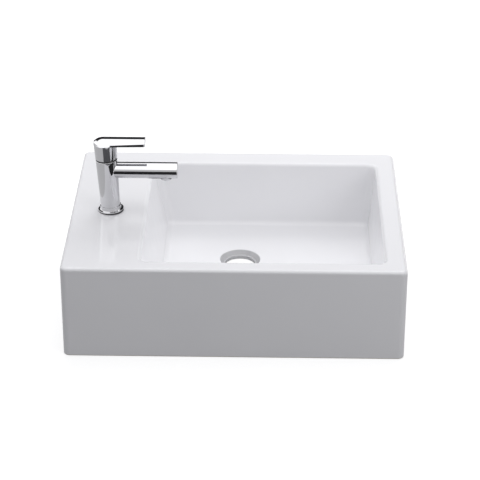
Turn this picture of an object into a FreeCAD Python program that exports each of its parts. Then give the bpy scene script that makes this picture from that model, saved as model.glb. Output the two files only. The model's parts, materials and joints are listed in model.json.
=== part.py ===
import FreeCAD, Part
import math
import os
import Sketcher
from FreeCAD import Placement, Rotation, Vector

# Countertop basin with a tap ledge on the left and a single-lever mixer on it.
# Millimetres; origin at the middle of the underside, X to the right, Y to the back, Z up.

os.makedirs("parts", exist_ok=True)
doc = FreeCAD.newDocument("countertop_basin")
sheet = doc.addObject("Spreadsheet::Sheet", "Sizes")

SIZES = [
    ("basin_width", 500, "left to right"),
    ("basin_depth", 400, "front to back"),
    ("basin_height", 145, "underside to deck"),
    ("corner_round", 10, "upright outer corners"),
    ("rim_round", 6, "top edges, outside and at the bowl"),
    ("skirt_wall", 11, "outer walls"),
    ("deck_wall", 12, "deck"),
    ("floor_wall", 15, "bowl floor"),
    ("bowl_wall", 11, "bowl sides"),
    ("ledge_width", 113.5, "left edge to bowl opening"),
    ("right_rim", 31, "bowl opening to right edge"),
    ("back_rim", 42.5, "bowl opening to back edge"),
    ("front_rim", 27, "bowl opening to front edge"),
    ("left_slope", 25, "run of the left bowl wall"),
    ("right_slope", 11, "run of the right bowl wall"),
    ("back_slope", 17, "run of the back bowl wall"),
    ("front_slope", 17, "run of the front bowl wall"),
    ("floor_height", 45.5, "underside to bowl floor"),
    ("bowl_corner", 12, "upright bowl corners"),
    ("floor_round", 10, "fold between bowl walls and floor"),
    ("solid_rim", 108, "underside of the solid front and right rim"),
    ("waste_from_left", 255.5, "left edge to waste hole"),
    ("waste_from_back", 175, "back edge to waste hole"),
    ("waste_bore", 46, "waste hole diameter"),
    ("waste_seat", 64, "waste hole diameter at the floor"),
    ("seat_foot", 51, "foot of the flared seat"),
    ("seat_depth", 6.5, "depth of the flared seat"),
    ("dish_radius", 98, "reach of the fall to the waste"),
    ("dish_fall", 2, "fall to the waste"),
    ("tap_from_left", 59.5, "left edge to tap axis"),
    ("tap_from_back", 210.4, "back edge to tap axis"),
    ("tap_hole", 30, "hole in the ledge"),
    ("body_lean", 3, "lean of the tap to the left in degrees"),
    ("thread_fit", 0.08, "radial play of a screwed joint"),
    ("running_fit", 0.06, "radial play of a turning joint"),
    ("close_fit", 0.05, "radial play of a pushed joint"),
    ("foot_seal", 1.4, "rubber under the middle of the foot"),
    ("seal_height", 1, "rubber under the cartridge"),
    ("foot_radius", 14.8, "tap body at the foot"),
    ("foot_straight", 10, "straight part of the foot"),
    ("rim_radius", 16.3, "tap body at its mouth"),
    ("rim_level", 84.9, "deck to the body's mouth"),
    ("flange_radius", 19.3, "flared foot ring"),
    ("flange_height", 9.5, "flared foot ring"),
    ("spout_level", 67.4, "deck to spout axis"),
    ("spout_radius", 12.5, "outside of the spout"),
    ("spout_reach", 106, "tap axis to spout tip"),
    ("spout_bore", 9, "radius of the spout's waterway"),
    ("outlet_setback", 17.6, "spout tip to outlet axis"),
    ("outlet_thread", 9, "radius of the outlet thread"),
    ("outlet_depth", 8, "aerator's lower face to the end of its thread"),
    ("outlet_stand", 1, "aerator's lower face below the spout"),
    ("chamber_level", 47, "deck to cartridge seat"),
    ("chamber_radius", 13, "cartridge chamber"),
    ("mouth_level", 74, "deck to the nut's seat"),
    ("mouth_radius", 14, "thread in the body's mouth"),
    ("inlet_thread", 4.5, "radius of the hose inlets"),
    ("inlet_depth", 13, "deck to the top of the inlet threads"),
    ("inlet_x", 2.5, "hose inlets right of the axis"),
    ("inlet_y", 6.2, "hose inlets front and back of the axis"),
    ("port_radius", 2.2, "waterways to the cartridge"),
    ("port_x", 1.2, "waterways right of the axis"),
    ("port_y", 4.4, "waterways front and back of the axis"),
    ("drain_x", 4.2, "outlet port left of the axis"),
    ("stud_radius", 3, "fixing stud"),
    ("stud_x", 10, "fixing stud left of the axis"),
    ("stud_below", 58, "fixing stud below the deck"),
    ("groove_gap", 2.5, "groove between body and head"),
    ("skirt_radius", 16.4, "head at its lower edge"),
    ("head_radius", 17.4, "head at its widest edge"),
    ("head_level", 111.5, "deck to the head's widest edge"),
    ("head_wall", 2.2, "head side wall"),
    ("head_roof", 1.5, "head's widest edge to the hollow below it"),
    ("cap_radius", 15.8, "head just above its crest"),
    ("crest_level", 120.2, "deck to the handle's crest"),
    ("boss_radius", 6.5, "boss inside the head"),
    ("lever_reach", 60.3, "tap axis to lever tip"),
    ("lever_root", 31, "lever width at the tap axis"),
    ("lever_tip", 26.4, "lever width at the tip"),
    ("lever_level", 111.2, "deck to the lever's underside"),
    ("crown_radius", 22.4, "round of the handle's top from front to back"),
    ("dome_start", 2.5, "tap axis to the dome at the head's left end"),
    ("pivot_drop", 12, "head's lower edge to lever pivot"),
    ("stem_side", 6, "square lever stem"),
    ("stem_level", 104.5, "deck to stem top"),
    ("stem_throw", 10, "pivot to the ball below it"),
    ("ball_radius", 2.2, "ball on the stem"),
    ("pin_radius", 1.25, "lever pivot pin"),
    ("lift_angle", 20, "lever lift in degrees"),
    ("screw_level", 101, "deck to grub screw"),
    ("screw_radius", 2, "grub screw"),
    ("plug_radius", 2.95, "index plug"),
    ("dome_gap", 1.8, "head to cover ring"),
    ("base_radius", 12.3, "cartridge base"),
    ("base_floor", 4.5, "cartridge base floor"),
    ("cup_rim", 2, "cartridge base rim"),
    ("fixed_radius", 10.6, "fixed disc"),
    ("moving_radius", 7.2, "moving disc"),
    ("disc_thick", 3.5, "both discs"),
    ("water_film", 0.05, "between the discs"),
    ("drum_radius", 12.5, "cartridge housing"),
    ("drum_wall", 1.5, "cartridge housing"),
    ("drum_roof", 2.7, "cartridge housing top"),
    ("neck_radius", 9.4, "cartridge neck"),
    ("neck_height", 5.2, "cartridge neck above the drum"),
    ("rotor_radius", 7.6, "rotor in the neck"),
    ("rotor_flange", 10.6, "rotor flange in the drum"),
    ("rotor_level", 82.5, "deck to rotor top"),
    ("play", 0.3, "gap between loose neighbours"),
]
for row, (alias, number, note) in enumerate(SIZES, 1):
    sheet.set(f"A{row}", alias)
    sheet.set(f"B{row}", str(number))
    sheet.setAlias(f"B{row}", alias)
    sheet.set(f"C{row}", note)
doc.recompute()


class Size:
    """A length together with the sheet formula that drives it."""

    def __init__(self, formula, value):
        self.formula = formula
        self.value = value

    def __add__(self, other):
        other = as_size(other)
        return Size(f"({self.formula} + {other.formula})", self.value + other.value)

    def __sub__(self, other):
        other = as_size(other)
        return Size(f"({self.formula} - {other.formula})", self.value - other.value)

    def __mul__(self, other):
        other = as_size(other)
        return Size(f"({self.formula} * {other.formula})", self.value * other.value)

    def __truediv__(self, other):
        other = as_size(other)
        return Size(f"({self.formula} / {other.formula})", self.value / other.value)

    def __neg__(self):
        return Size(f"(0 - {self.formula})", -self.value)


def as_size(number):
    return number if isinstance(number, Size) else Size(f"{number}", float(number))


def hypot(first, second):
    text = f"sqrt({first.formula} * {first.formula} + {second.formula} * {second.formula})"
    return Size(text, math.hypot(first.value, second.value))


def leg(longest, other):
    text = f"sqrt({longest.formula} * {longest.formula} - {other.formula} * {other.formula})"
    return Size(text, math.sqrt(longest.value ** 2 - other.value ** 2))


class Cells:
    pass


cell = Cells()
for alias, number, note in SIZES:
    setattr(cell, alias, Size(f"Sizes.{alias}", float(number)))
lean_cos = Size("cos(Sizes.body_lean * 1 deg)", math.cos(math.radians(cell.body_lean.value)))
lean_sin = Size("sin(Sizes.body_lean * 1 deg)", math.sin(math.radians(cell.body_lean.value)))

# Levels and centres that several pieces share
half_width = cell.basin_width / 2
half_depth = cell.basin_depth / 2
tap_x = cell.tap_from_left - half_width
tap_y = half_depth - cell.tap_from_back
skirt_level = cell.rim_level + cell.groove_gap
pivot = skirt_level - cell.pivot_drop
head_ball = hypot(cell.skirt_radius, cell.pivot_drop)
base_level = cell.chamber_level + cell.seal_height
disc_level = base_level + cell.base_floor
drum_level = disc_level + cell.cup_rim
film_level = disc_level + cell.disc_thick
moving_level = film_level + cell.water_film
carrier_level = moving_level + cell.disc_thick
ball_level = pivot - cell.stem_throw
carrier_top = ball_level + 1
rotor_bottom = carrier_top + cell.play * 2
flange_top = cell.mouth_level - cell.drum_roof - cell.play
outlet_run = cell.spout_reach - cell.outlet_setback
outlet_foot = cell.spout_radius + cell.outlet_stand


def bind(thing, prop, length):
    thing.setExpression(prop, as_size(length).formula)


def place(thing, frame):
    """Stands a piece in the room, upright on the ledge, leaning with the tap, or in the outlet."""
    spots = {
        "room": (as_size(0), as_size(0), as_size(0)),
        "ledge": (tap_x, tap_y, cell.basin_height),
        "tap": (tap_x, tap_y, cell.basin_height),
        "outlet": (
            tap_x + outlet_run - cell.spout_level * lean_sin,
            tap_y,
            cell.basin_height + cell.spout_level * lean_cos - outlet_foot,
        ),
    }
    spot = spots[frame]
    turn = Rotation(Vector(0, -1, 0), cell.body_lean.value if frame == "tap" else 0)
    thing.Placement = Placement(Vector(*[c.value for c in spot]), turn)
    if frame == "room":
        return
    for axis, coordinate in zip("xyz", spot):
        bind(thing, f"Placement.Base.{axis}", coordinate)
    if frame == "tap":
        thing.setExpression("Placement.Rotation.Angle", "Sizes.body_lean * 1 deg")


def new_body(name, frame):
    body = doc.addObject("PartDesign::Body", name)
    body.Label = name
    place(body, frame)
    return body


def attach(body, thing, plane, base, upright):
    """Ties a sketch or primitive to one of its body's own planes, or to the upright version of it."""
    support = next(f for f in body.Origin.OriginFeatures if f.Role == plane)
    thing.AttachmentSupport = [(support, "")]
    thing.MapMode = "FlatFace"
    base = [as_size(b) for b in base]
    axis = Vector(0, 1, 0) if plane == "XY_Plane" else Vector(1, 0, 0)
    turn = Rotation(axis, cell.body_lean.value) if upright else Rotation()
    thing.AttachmentOffset = Placement(Vector(*[b.value for b in base]), turn)
    for name, b in zip("xyz", base):
        if b.value:
            bind(thing, f"AttachmentOffset.Base.{name}", b)
    if upright:
        thing.setExpression("AttachmentOffset.Rotation.Angle", "Sizes.body_lean * 1 deg")


def new_sketch(body, name, plane="XY_Plane", base=(0, 0, 0), upright=False):
    sketch = body.newObject("Sketcher::SketchObject", name)
    attach(body, sketch, plane, base, upright)
    return sketch


def hold_point(sketch, geometry, end, x, y):
    for kind, axis, value in (("DistanceX", -2, as_size(x)), ("DistanceY", -1, as_size(y))):
        if abs(value.value) < 1e-9:
            sketch.addConstraint(Sketcher.Constraint("PointOnObject", geometry, end, axis))
        else:
            number = sketch.addConstraint(Sketcher.Constraint(kind, -1, 1, geometry, end, value.value))
            sketch.setExpression(f"Constraints[{number}]", value.formula)


def draw_polygon(sketch, corners):
    first = sketch.GeometryCount
    count = len(corners)
    points = [Vector(as_size(x).value, as_size(y).value, 0) for x, y in corners]
    for i in range(count):
        sketch.addGeometry(Part.LineSegment(points[i], points[(i + 1) % count]), False)
    for i in range(count):
        following = first + (i + 1) % count
        sketch.addConstraint(Sketcher.Constraint("Coincident", first + i, 2, following, 1))
    for i, (x, y) in enumerate(corners):
        hold_point(sketch, first + i, 1, x, y)


def draw_rectangle(sketch, left, right, low, high):
    draw_polygon(sketch, [(left, low), (right, low), (right, high), (left, high)])


def draw_circle(sketch, radius, x=0, y=0):
    radius = as_size(radius)
    centre = Vector(as_size(x).value, as_size(y).value, 0)
    number = sketch.addGeometry(Part.Circle(centre, Vector(0, 0, 1), radius.value), False)
    hold_point(sketch, number, 3, x, y)
    rule = sketch.addConstraint(Sketcher.Constraint("Radius", number, radius.value))
    sketch.setExpression(f"Constraints[{rule}]", radius.formula)


def draw_hexagon(sketch, across_flats, x=0, y=0):
    side = as_size(across_flats) / 2
    point = side * (2 / math.sqrt(3))
    x, y = as_size(x), as_size(y)
    half = point / 2
    corners = [(point, 0), (half, side), (-half, side), (-point, 0), (-half, -side), (half, -side)]
    draw_polygon(sketch, [(x + u, y + v) for u, v in corners])


def draw_crown(sketch, half, radius, top, whole):
    """The space above a wide arc that is highest on the sketch's upright axis, or its right half."""
    half, radius, top = as_size(half), as_size(radius), as_size(top)
    foot = leg(radius, half) - radius
    left, left_foot = (-half, foot) if whole else (as_size(0), as_size(0))
    corners = [(left, left_foot), (left, top), (half, top), (half, foot)]
    points = [Vector(x.value, y.value, 0) for x, y in corners]
    for start, end in zip(points, points[1:]):
        sketch.addGeometry(Part.LineSegment(start, end), False)
    circle = Part.Circle(Vector(0, -radius.value, 0), Vector(0, 0, 1), radius.value)
    lift = math.acos(half.value / radius.value)
    sketch.addGeometry(Part.ArcOfCircle(circle, lift, math.pi - lift if whole else math.pi / 2), False)
    for side in range(4):
        sketch.addConstraint(Sketcher.Constraint("Coincident", side, 2, (side + 1) % 4, 1))
    sketch.addConstraint(Sketcher.Constraint("Vertical", 0))
    sketch.addConstraint(Sketcher.Constraint("Vertical", 2))
    hold_point(sketch, 1, 1, left, top)
    hold_point(sketch, 2, 1, half, top)
    hold_point(sketch, 3, 3, 0, -radius)
    rule = sketch.addConstraint(Sketcher.Constraint("Radius", 3, radius.value))
    sketch.setExpression(f"Constraints[{rule}]", radius.formula)


def pull(body, kind, sketch, length, away=False, both=False):
    """Pads or pockets a sketch; away pulls along the sketch's normal when it is a pocket."""
    feature = body.newObject(f"PartDesign::{kind}", f"{kind}_{sketch.Name}")
    feature.Profile = sketch
    feature.Length = as_size(length).value
    bind(feature, "Length", length)
    feature.Reversed = away
    if both:
        feature.Midplane = True
    return feature


def turn(body, kind, sketch):
    feature = body.newObject(f"PartDesign::{kind}", f"{kind}_{sketch.Name}")
    feature.Profile = sketch
    feature.ReferenceAxis = (sketch, ["V_Axis"])
    feature.Angle = 360
    return feature


def turned_body(name, frame, profile):
    body = new_body(name, frame)
    sketch = new_sketch(body, f"{name}_profile", "XZ_Plane")
    draw_polygon(sketch, profile)
    turn(body, "Revolution", sketch)
    return body


def round_edges(body, name, radius, chosen):
    """Rounds the edges of the body's last feature that the rule picks."""
    doc.recompute()
    last = body.Tip
    names = [f"Edge{i}" for i, edge in enumerate(last.Shape.Edges, 1) if chosen(edge)]
    feature = body.newObject("PartDesign::Fillet", name)
    feature.Base = (last, names)
    feature.Radius = as_size(radius).value
    bind(feature, "Radius", radius)
    return feature


def at_height(edge, level):
    box = edge.BoundBox
    return abs(box.ZMin - level) < 0.01 and abs(box.ZMax - level) < 0.01


# Basin: one hollow casting, open underneath, with the bowl hung from the deck
basin = new_body("basin", "room")
outline = new_sketch(basin, "basin_outline")
draw_rectangle(outline, -half_width, half_width, -half_depth, half_depth)
pull(basin, "Pad", outline, cell.basin_height)
round_edges(basin, "basin_corners", cell.corner_round, lambda e: e.BoundBox.ZLength > 100)

hollow = new_sketch(basin, "basin_hollow")
inner_x = half_width - cell.skirt_wall
inner_y = half_depth - cell.skirt_wall
draw_rectangle(hollow, -inner_x, inner_x, -inner_y, inner_y)
pull(basin, "Pocket", hollow, cell.basin_height - cell.deck_wall, away=True)

bowl_left = cell.ledge_width - half_width
bowl_right = half_width - cell.right_rim
bowl_front = cell.front_rim - half_depth
bowl_back = half_depth - cell.back_rim
floor_left = bowl_left + cell.left_slope
floor_right = bowl_right - cell.right_slope
floor_front = bowl_front + cell.front_slope
floor_back = bowl_back - cell.back_slope

rim_fill = new_sketch(basin, "basin_rim_fill", base=(0, 0, cell.solid_rim))
draw_polygon(rim_fill, [
    (bowl_left, -inner_y - 2),
    (inner_x + 2, -inner_y - 2),
    (inner_x + 2, bowl_back),
    (floor_right, bowl_back),
    (floor_right, floor_front),
    (bowl_left, floor_front),
])
pull(basin, "Pad", rim_fill, cell.basin_height - cell.solid_rim - cell.deck_wall / 2)


def bowl_loft(kind, name, grow, top, bottom):
    upper = new_sketch(basin, f"{name}_opening", base=(0, 0, top))
    draw_rectangle(upper, bowl_left - grow, bowl_right + grow, bowl_front - grow, bowl_back + grow)
    lower = new_sketch(basin, f"{name}_floor", base=(0, 0, bottom))
    draw_rectangle(lower, floor_left - grow, floor_right + grow, floor_front - grow, floor_back + grow)
    loft = basin.newObject(f"PartDesign::{kind}", f"{name}_loft")
    loft.Profile = upper
    loft.Sections = [lower]
    loft.Ruled = True
    return loft


bowl_loft("AdditiveLoft", "tub", cell.bowl_wall, cell.basin_height - 2, cell.floor_height - cell.floor_wall)
bowl_loft("SubtractiveLoft", "bowl", as_size(0), cell.basin_height, cell.floor_height)


def bowl_upright(edge):
    mid = edge.CenterOfMass
    inside = bowl_left.value < mid.x < bowl_right.value and bowl_front.value < mid.y < bowl_back.value
    box = edge.BoundBox
    return inside and box.ZLength > 60 and box.ZMax > cell.basin_height.value - 1


def bowl_fold(edge):
    mid = edge.CenterOfMass
    inside = bowl_left.value < mid.x < bowl_right.value and bowl_front.value < mid.y < bowl_back.value
    return inside and at_height(edge, cell.floor_height.value)


round_edges(basin, "bowl_corners", cell.bowl_corner, bowl_upright)
round_edges(basin, "bowl_folds", cell.floor_round, bowl_fold)
round_edges(basin, "deck_edges", cell.rim_round, lambda e: at_height(e, cell.basin_height.value))

waste_x = cell.waste_from_left - half_width
waste_y = half_depth - cell.waste_from_back
seat_level = cell.floor_height - cell.dish_fall
waste = new_sketch(basin, "waste_profile", "XZ_Plane", base=(waste_x, 0, -waste_y))
draw_polygon(waste, [
    (0, cell.floor_height + 1),
    (cell.dish_radius, cell.floor_height + 1),
    (cell.dish_radius, cell.floor_height),
    (cell.waste_seat / 2, seat_level),
    (cell.seat_foot / 2, seat_level - cell.seat_depth),
    (cell.waste_bore / 2, seat_level - cell.seat_depth),
    (cell.waste_bore / 2, seat_level - cell.floor_wall - 6),
    (0, seat_level - cell.floor_wall - 6),
])
turn(basin, "Groove", waste)

tap_opening = new_sketch(basin, "tap_opening", base=(0, 0, cell.basin_height))
draw_circle(tap_opening, cell.tap_hole / 2, tap_x, tap_y)
pull(basin, "Pocket", tap_opening, cell.deck_wall + 5)

# Tap body: tapered brass casting with a level spout, a cartridge chamber and two hose inlets
mixer_body = new_body("mixer_body", "tap")
below_deck = as_size(3)
casting = new_sketch(mixer_body, "casting_profile", "XZ_Plane")
draw_polygon(casting, [
    (0, cell.foot_seal),
    (cell.foot_radius, cell.foot_seal),
    (cell.foot_radius, cell.foot_straight),
    (cell.rim_radius, cell.rim_level),
    (0, cell.rim_level),
])
turn(mixer_body, "Revolution", casting)


def spout_section(name, run):
    """A sketch square to the spout, this far from the tap axis."""
    base = (0, cell.spout_level - lean_sin * run, lean_cos * run)
    return new_sketch(mixer_body, name, "YZ_Plane", base, upright=True)


def outlet_section(name, below):
    """A level sketch on the outlet axis, this far below the spout axis."""
    below = as_size(below)
    x = lean_cos * outlet_run - lean_sin * below
    z = cell.spout_level - lean_sin * outlet_run - lean_cos * below
    return new_sketch(mixer_body, name, "XY_Plane", (x, 0, z), upright=True)


spout = spout_section("spout_round", as_size(0))
draw_circle(spout, cell.spout_radius)
pull(mixer_body, "Pad", spout, cell.spout_reach)

chamber = new_sketch(mixer_body, "chamber_profile", "XZ_Plane")
draw_polygon(chamber, [
    (0, cell.chamber_level),
    (cell.chamber_radius, cell.chamber_level),
    (cell.chamber_radius, cell.mouth_level),
    (cell.mouth_radius, cell.mouth_level),
    (cell.mouth_radius, cell.rim_level + 1),
    (0, cell.rim_level + 1),
])
turn(mixer_body, "Groove", chamber)

waterway_start = cell.rim_radius + 1
waterway_end = outlet_run - cell.outlet_thread - 4
waterway = spout_section("waterway", waterway_start)
draw_circle(waterway, cell.spout_bore)
pull(mixer_body, "Pocket", waterway, waterway_end - waterway_start, away=True)
narrow = spout_section("narrow_waterway", waterway_end - 1)
draw_circle(narrow, cell.spout_bore - 3.6, 0, 2.5)
pull(mixer_body, "Pocket", narrow, outlet_run - waterway_end + 1, away=True)
port = spout_section("chamber_port", as_size(0))
draw_circle(port, cell.inlet_thread, 0, -1)
pull(mixer_body, "Pocket", port, waterway_start + 1, away=True)

passage = outlet_section("outlet_passage", 0)
draw_circle(passage, cell.outlet_thread - 2.5)
pull(mixer_body, "Pocket", passage, outlet_foot)
outlet = outlet_section("outlet_thread", outlet_foot)
draw_circle(outlet, cell.outlet_thread)
pull(mixer_body, "Pocket", outlet, cell.outlet_depth, away=True)

inlets = new_sketch(mixer_body, "hose_inlets", base=(0, 0, -below_deck))
for side in (-1, 1):
    draw_circle(inlets, cell.inlet_thread, cell.inlet_x, cell.inlet_y * side)
pull(mixer_body, "Pocket", inlets, below_deck + cell.inlet_depth, away=True)
ways = new_sketch(mixer_body, "cartridge_ways", base=(0, 0, -below_deck))
for side in (-1, 1):
    draw_circle(ways, cell.port_radius, cell.port_x, cell.port_y * side)
pull(mixer_body, "Pocket", ways, below_deck + cell.chamber_level + 1, away=True)
lug_hole = new_sketch(mixer_body, "lug_hole", base=(0, 0, cell.chamber_level))
draw_circle(lug_hole, 1.3, 8.5, 0)
pull(mixer_body, "Pocket", lug_hole, 2.8)

stud_base = (-lean_sin * below_deck, 0, -lean_cos * below_deck)
stud_hole = new_sketch(mixer_body, "stud_hole", base=stud_base, upright=True)
draw_circle(stud_hole, cell.stud_radius + cell.thread_fit, -cell.stud_x, 0)
pull(mixer_body, "Pocket", stud_hole, below_deck + 14, away=True)

# Flared foot ring, square to the leaning body
flange_edge = cell.foot_seal + 2
flange_waist = cell.foot_seal + 2.7
base_flange = turned_body("base_flange", "tap", [
    (cell.foot_radius + cell.close_fit, cell.foot_seal),
    (cell.flange_radius, cell.foot_seal),
    (cell.flange_radius, flange_edge),
    (cell.foot_radius + 1.5, flange_waist),
    (cell.foot_radius + 0.8, cell.flange_height),
    (cell.foot_radius + cell.close_fit, cell.flange_height),
])
round_edges(base_flange, "flange_flare", 0.9, lambda e: at_height(e, flange_waist.value))
round_edges(base_flange, "flange_lip", 0.5, lambda e: at_height(e, flange_edge.value))

# Rubber wedge between the leaning foot and the level deck
base_seal = turned_body("base_seal", "tap", [
    (cell.foot_radius - 1, -below_deck),
    (cell.flange_radius - 0.25, -below_deck),
    (cell.flange_radius - 0.25, cell.foot_seal),
    (cell.foot_radius - 1, cell.foot_seal),
])
deck_cut = new_sketch(base_seal, "deck_cut", upright=True)
draw_circle(deck_cut, 40)
pull(base_seal, "Pocket", deck_cut, 20)

# Cartridge base: plastic cup with two inlet ports, an outlet port and a locating lug
cartridge_base = turned_body("cartridge_base", "tap", [
    (0, base_level),
    (cell.base_radius, base_level),
    (cell.base_radius, drum_level),
    (cell.fixed_radius + cell.running_fit, drum_level),
    (cell.fixed_radius + cell.running_fit, disc_level),
    (0, disc_level),
])
lug = new_sketch(cartridge_base, "locating_lug", base=(0, 0, base_level + 1))
draw_circle(lug, 1.2, 8.5, 0)
pull(cartridge_base, "Pad", lug, cell.seal_height + 3.2, away=True)
seal_depth = as_size(1.2)
ring_outside = cell.port_radius + 1.3
seats = new_sketch(cartridge_base, "seal_seats", base=(0, 0, base_level))
for side in (-1, 1):
    draw_circle(seats, ring_outside + cell.close_fit, cell.port_x, cell.port_y * side)
pull(cartridge_base, "Pocket", seats, seal_depth, away=True)


def drill_ports(body, level, depth):
    ports = new_sketch(body, f"{body.Name}_ports", base=(0, 0, level))
    for side in (-1, 1):
        draw_circle(ports, cell.port_radius, cell.port_x, cell.port_y * side)
    draw_circle(ports, cell.port_radius, -cell.drain_x, 0)
    pull(body, "Pocket", ports, depth, away=True)


drill_ports(cartridge_base, base_level, cell.base_floor + 1)

# Two alike rubber rings that seal the inlet ports to the chamber floor
seal_rings = []
for side, name in ((-1, "front"), (1, "back")):
    outer = doc.addObject("Part::Cylinder", f"seal_{name}_outer")
    inner = doc.addObject("Part::Cylinder", f"seal_{name}_inner")
    for cylinder, radius in ((outer, ring_outside), (inner, cell.port_radius)):
        bind(cylinder, "Radius", radius)
        bind(cylinder, "Height", cell.seal_height + seal_depth)
        bind(cylinder, "Placement.Base.x", cell.port_x)
        bind(cylinder, "Placement.Base.y", cell.port_y * side)
        bind(cylinder, "Placement.Base.z", cell.chamber_level)
    ring = doc.addObject("Part::Cut", f"seal_{name}")
    ring.Base = outer
    ring.Tool = inner
    seal_rings.append(ring)
cartridge_seals = doc.addObject("Part::Compound", "cartridge_seals")
cartridge_seals.Label = "cartridge_seals"
cartridge_seals.Links = seal_rings
place(cartridge_seals, "tap")

# Fixed ceramic disc with three ports
fixed_disc = turned_body("fixed_disc", "tap", [
    (0, disc_level),
    (cell.fixed_radius, disc_level),
    (cell.fixed_radius, film_level),
    (0, film_level),
])
drill_ports(fixed_disc, disc_level - 1, cell.disc_thick + 2)

# Moving ceramic disc: a mixing hollow below and a square key hole above
moving_disc = turned_body("moving_disc", "tap", [
    (0, moving_level),
    (cell.moving_radius, moving_level),
    (cell.moving_radius, carrier_level),
    (0, carrier_level),
])
mixing = new_sketch(moving_disc, "mixing_hollow", base=(0, 0, moving_level))
draw_rectangle(mixing, -cell.drain_x - 1.2, as_size(-1.6), as_size(-4.2), as_size(4.2))
pull(moving_disc, "Pocket", mixing, 1.6, away=True)
key_side = as_size(4.6)
key_height = as_size(1.2)
key_hole = new_sketch(moving_disc, "key_hole", base=(0, 0, carrier_level))
key_half = key_side / 2 + cell.close_fit
draw_rectangle(key_hole, -key_half, key_half, -key_half, key_half)
pull(moving_disc, "Pocket", key_hole, key_height + 0.1)

# Carrier: turns with the rotor, slides on it, and is pushed by the ball of the stem
disc_carrier = turned_body("disc_carrier", "tap", [
    (0, carrier_level),
    (cell.moving_radius, carrier_level),
    (cell.moving_radius, carrier_top),
    (0, carrier_top),
])
key = new_sketch(disc_carrier, "carrier_key", base=(0, 0, carrier_level + 1))
draw_rectangle(key, -key_side / 2, key_side / 2, -key_side / 2, key_side / 2)
pull(disc_carrier, "Pad", key, key_height + 1, away=True)
rib_y = as_size(5)
rib_half = as_size(0.8)
rib_reach = as_size(4.2)
rib_height = as_size(2)
ribs = new_sketch(disc_carrier, "carrier_ribs", base=(0, 0, carrier_top - 1))
for side in (-1, 1):
    draw_rectangle(ribs, -rib_reach, rib_reach, rib_y * side - rib_half, rib_y * side + rib_half)
pull(disc_carrier, "Pad", ribs, rib_height + 1)
socket = new_sketch(disc_carrier, "ball_socket", base=(0, 0, carrier_top))
draw_circle(socket, cell.ball_radius + cell.thread_fit)
pull(disc_carrier, "Pocket", socket, cell.ball_radius + 2)

# Housing: plastic drum and neck, with windows that let the mixed water out
drum_inside = cell.drum_radius - cell.drum_wall
seal_groove = cell.drum_radius - 1
groove_low = cell.mouth_level - 2.1
groove_high = cell.mouth_level - 0.5
neck_bore = cell.rotor_radius + cell.running_fit
cartridge_housing = turned_body("cartridge_housing", "tap", [
    (drum_inside, drum_level),
    (cell.drum_radius, drum_level),
    (cell.drum_radius, groove_low),
    (seal_groove, groove_low),
    (seal_groove, groove_high),
    (cell.drum_radius, groove_high),
    (cell.drum_radius, cell.mouth_level),
    (cell.neck_radius, cell.mouth_level),
    (cell.neck_radius, cell.mouth_level + cell.neck_height),
    (neck_bore, cell.mouth_level + cell.neck_height),
    (neck_bore, cell.mouth_level - cell.drum_roof),
    (drum_inside, cell.mouth_level - cell.drum_roof),
])
window_z = (carrier_level, rotor_bottom)
windows = new_sketch(cartridge_housing, "outlet_windows", "YZ_Plane")
for side in (-1, 1):
    low_y, high_y = sorted((2 * side, 6.5 * side))
    draw_rectangle(windows, as_size(low_y), as_size(high_y), *window_z)
pull(cartridge_housing, "Pocket", windows, 20, away=True)

# Rubber rings of the housing in the chamber and of the rotor in the neck
housing_seal = doc.addObject("Part::Torus", "housing_seal")
rotor_seal = doc.addObject("Part::Torus", "rotor_seal")
rotor_groove = cell.rotor_radius - 1.3
rotor_groove_low = cell.mouth_level + 3.3
for ring, inside, outside, level in (
    (housing_seal, seal_groove, cell.chamber_radius, (groove_low + groove_high) / 2),
    (rotor_seal, rotor_groove, neck_bore, rotor_groove_low + 0.75),
):
    ring.Label = ring.Name
    place(ring, "tap")
    bind(ring, "Radius1", (inside + outside) / 2)
    bind(ring, "Radius2", (outside - inside) / 2 - 0.02)
    bind(ring, "Placement.Base.x", tap_x - lean_sin * level)
    bind(ring, "Placement.Base.z", cell.basin_height + lean_cos * level)

# Rotor: turns in the neck and carries the lever pin
cartridge_rotor = turned_body("cartridge_rotor", "tap", [
    (0, rotor_bottom),
    (cell.rotor_flange, rotor_bottom),
    (cell.rotor_flange, flange_top),
    (cell.rotor_radius, flange_top),
    (cell.rotor_radius, rotor_groove_low),
    (rotor_groove, rotor_groove_low),
    (rotor_groove, rotor_groove_low + 1.5),
    (cell.rotor_radius, rotor_groove_low + 1.5),
    (cell.rotor_radius, cell.rotor_level),
    (0, cell.rotor_level),
])
stem_half = cell.stem_side / 2
lift_run = Size("tan(Sizes.lift_angle * 1 deg)", math.tan(math.radians(cell.lift_angle.value)))
rise = cell.rotor_level - pivot + 1
fall = pivot - rotor_bottom + 1
slot = new_sketch(cartridge_rotor, "stem_slot", "XZ_Plane")
side_gap = cell.play + 0.1
draw_polygon(slot, [
    (stem_half + side_gap, cell.rotor_level + 1),
    (stem_half + side_gap, pivot),
    (stem_half + side_gap + lift_run * fall, rotor_bottom - 1),
    (-stem_half - side_gap, rotor_bottom - 1),
    (-stem_half - side_gap, pivot),
    (-stem_half - side_gap - lift_run * rise, cell.rotor_level + 1),
])
pull(cartridge_rotor, "Pocket", slot, cell.stem_side + cell.close_fit * 4, both=True)
pin_hole = new_sketch(cartridge_rotor, "pin_hole", "XZ_Plane")
draw_circle(pin_hole, cell.pin_radius + 0.02, 0, pivot)
pull(cartridge_rotor, "Pocket", pin_hole, 40, both=True)
disc_travel = lift_run * cell.stem_throw
guides = new_sketch(cartridge_rotor, "rib_guides", base=(0, 0, rotor_bottom))
guide_half = rib_half + cell.close_fit * 2
for side in (-1, 1):
    draw_rectangle(
        guides,
        -rib_reach - cell.play,
        rib_reach + disc_travel + cell.play,
        rib_y * side - guide_half,
        rib_y * side + guide_half,
    )
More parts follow.
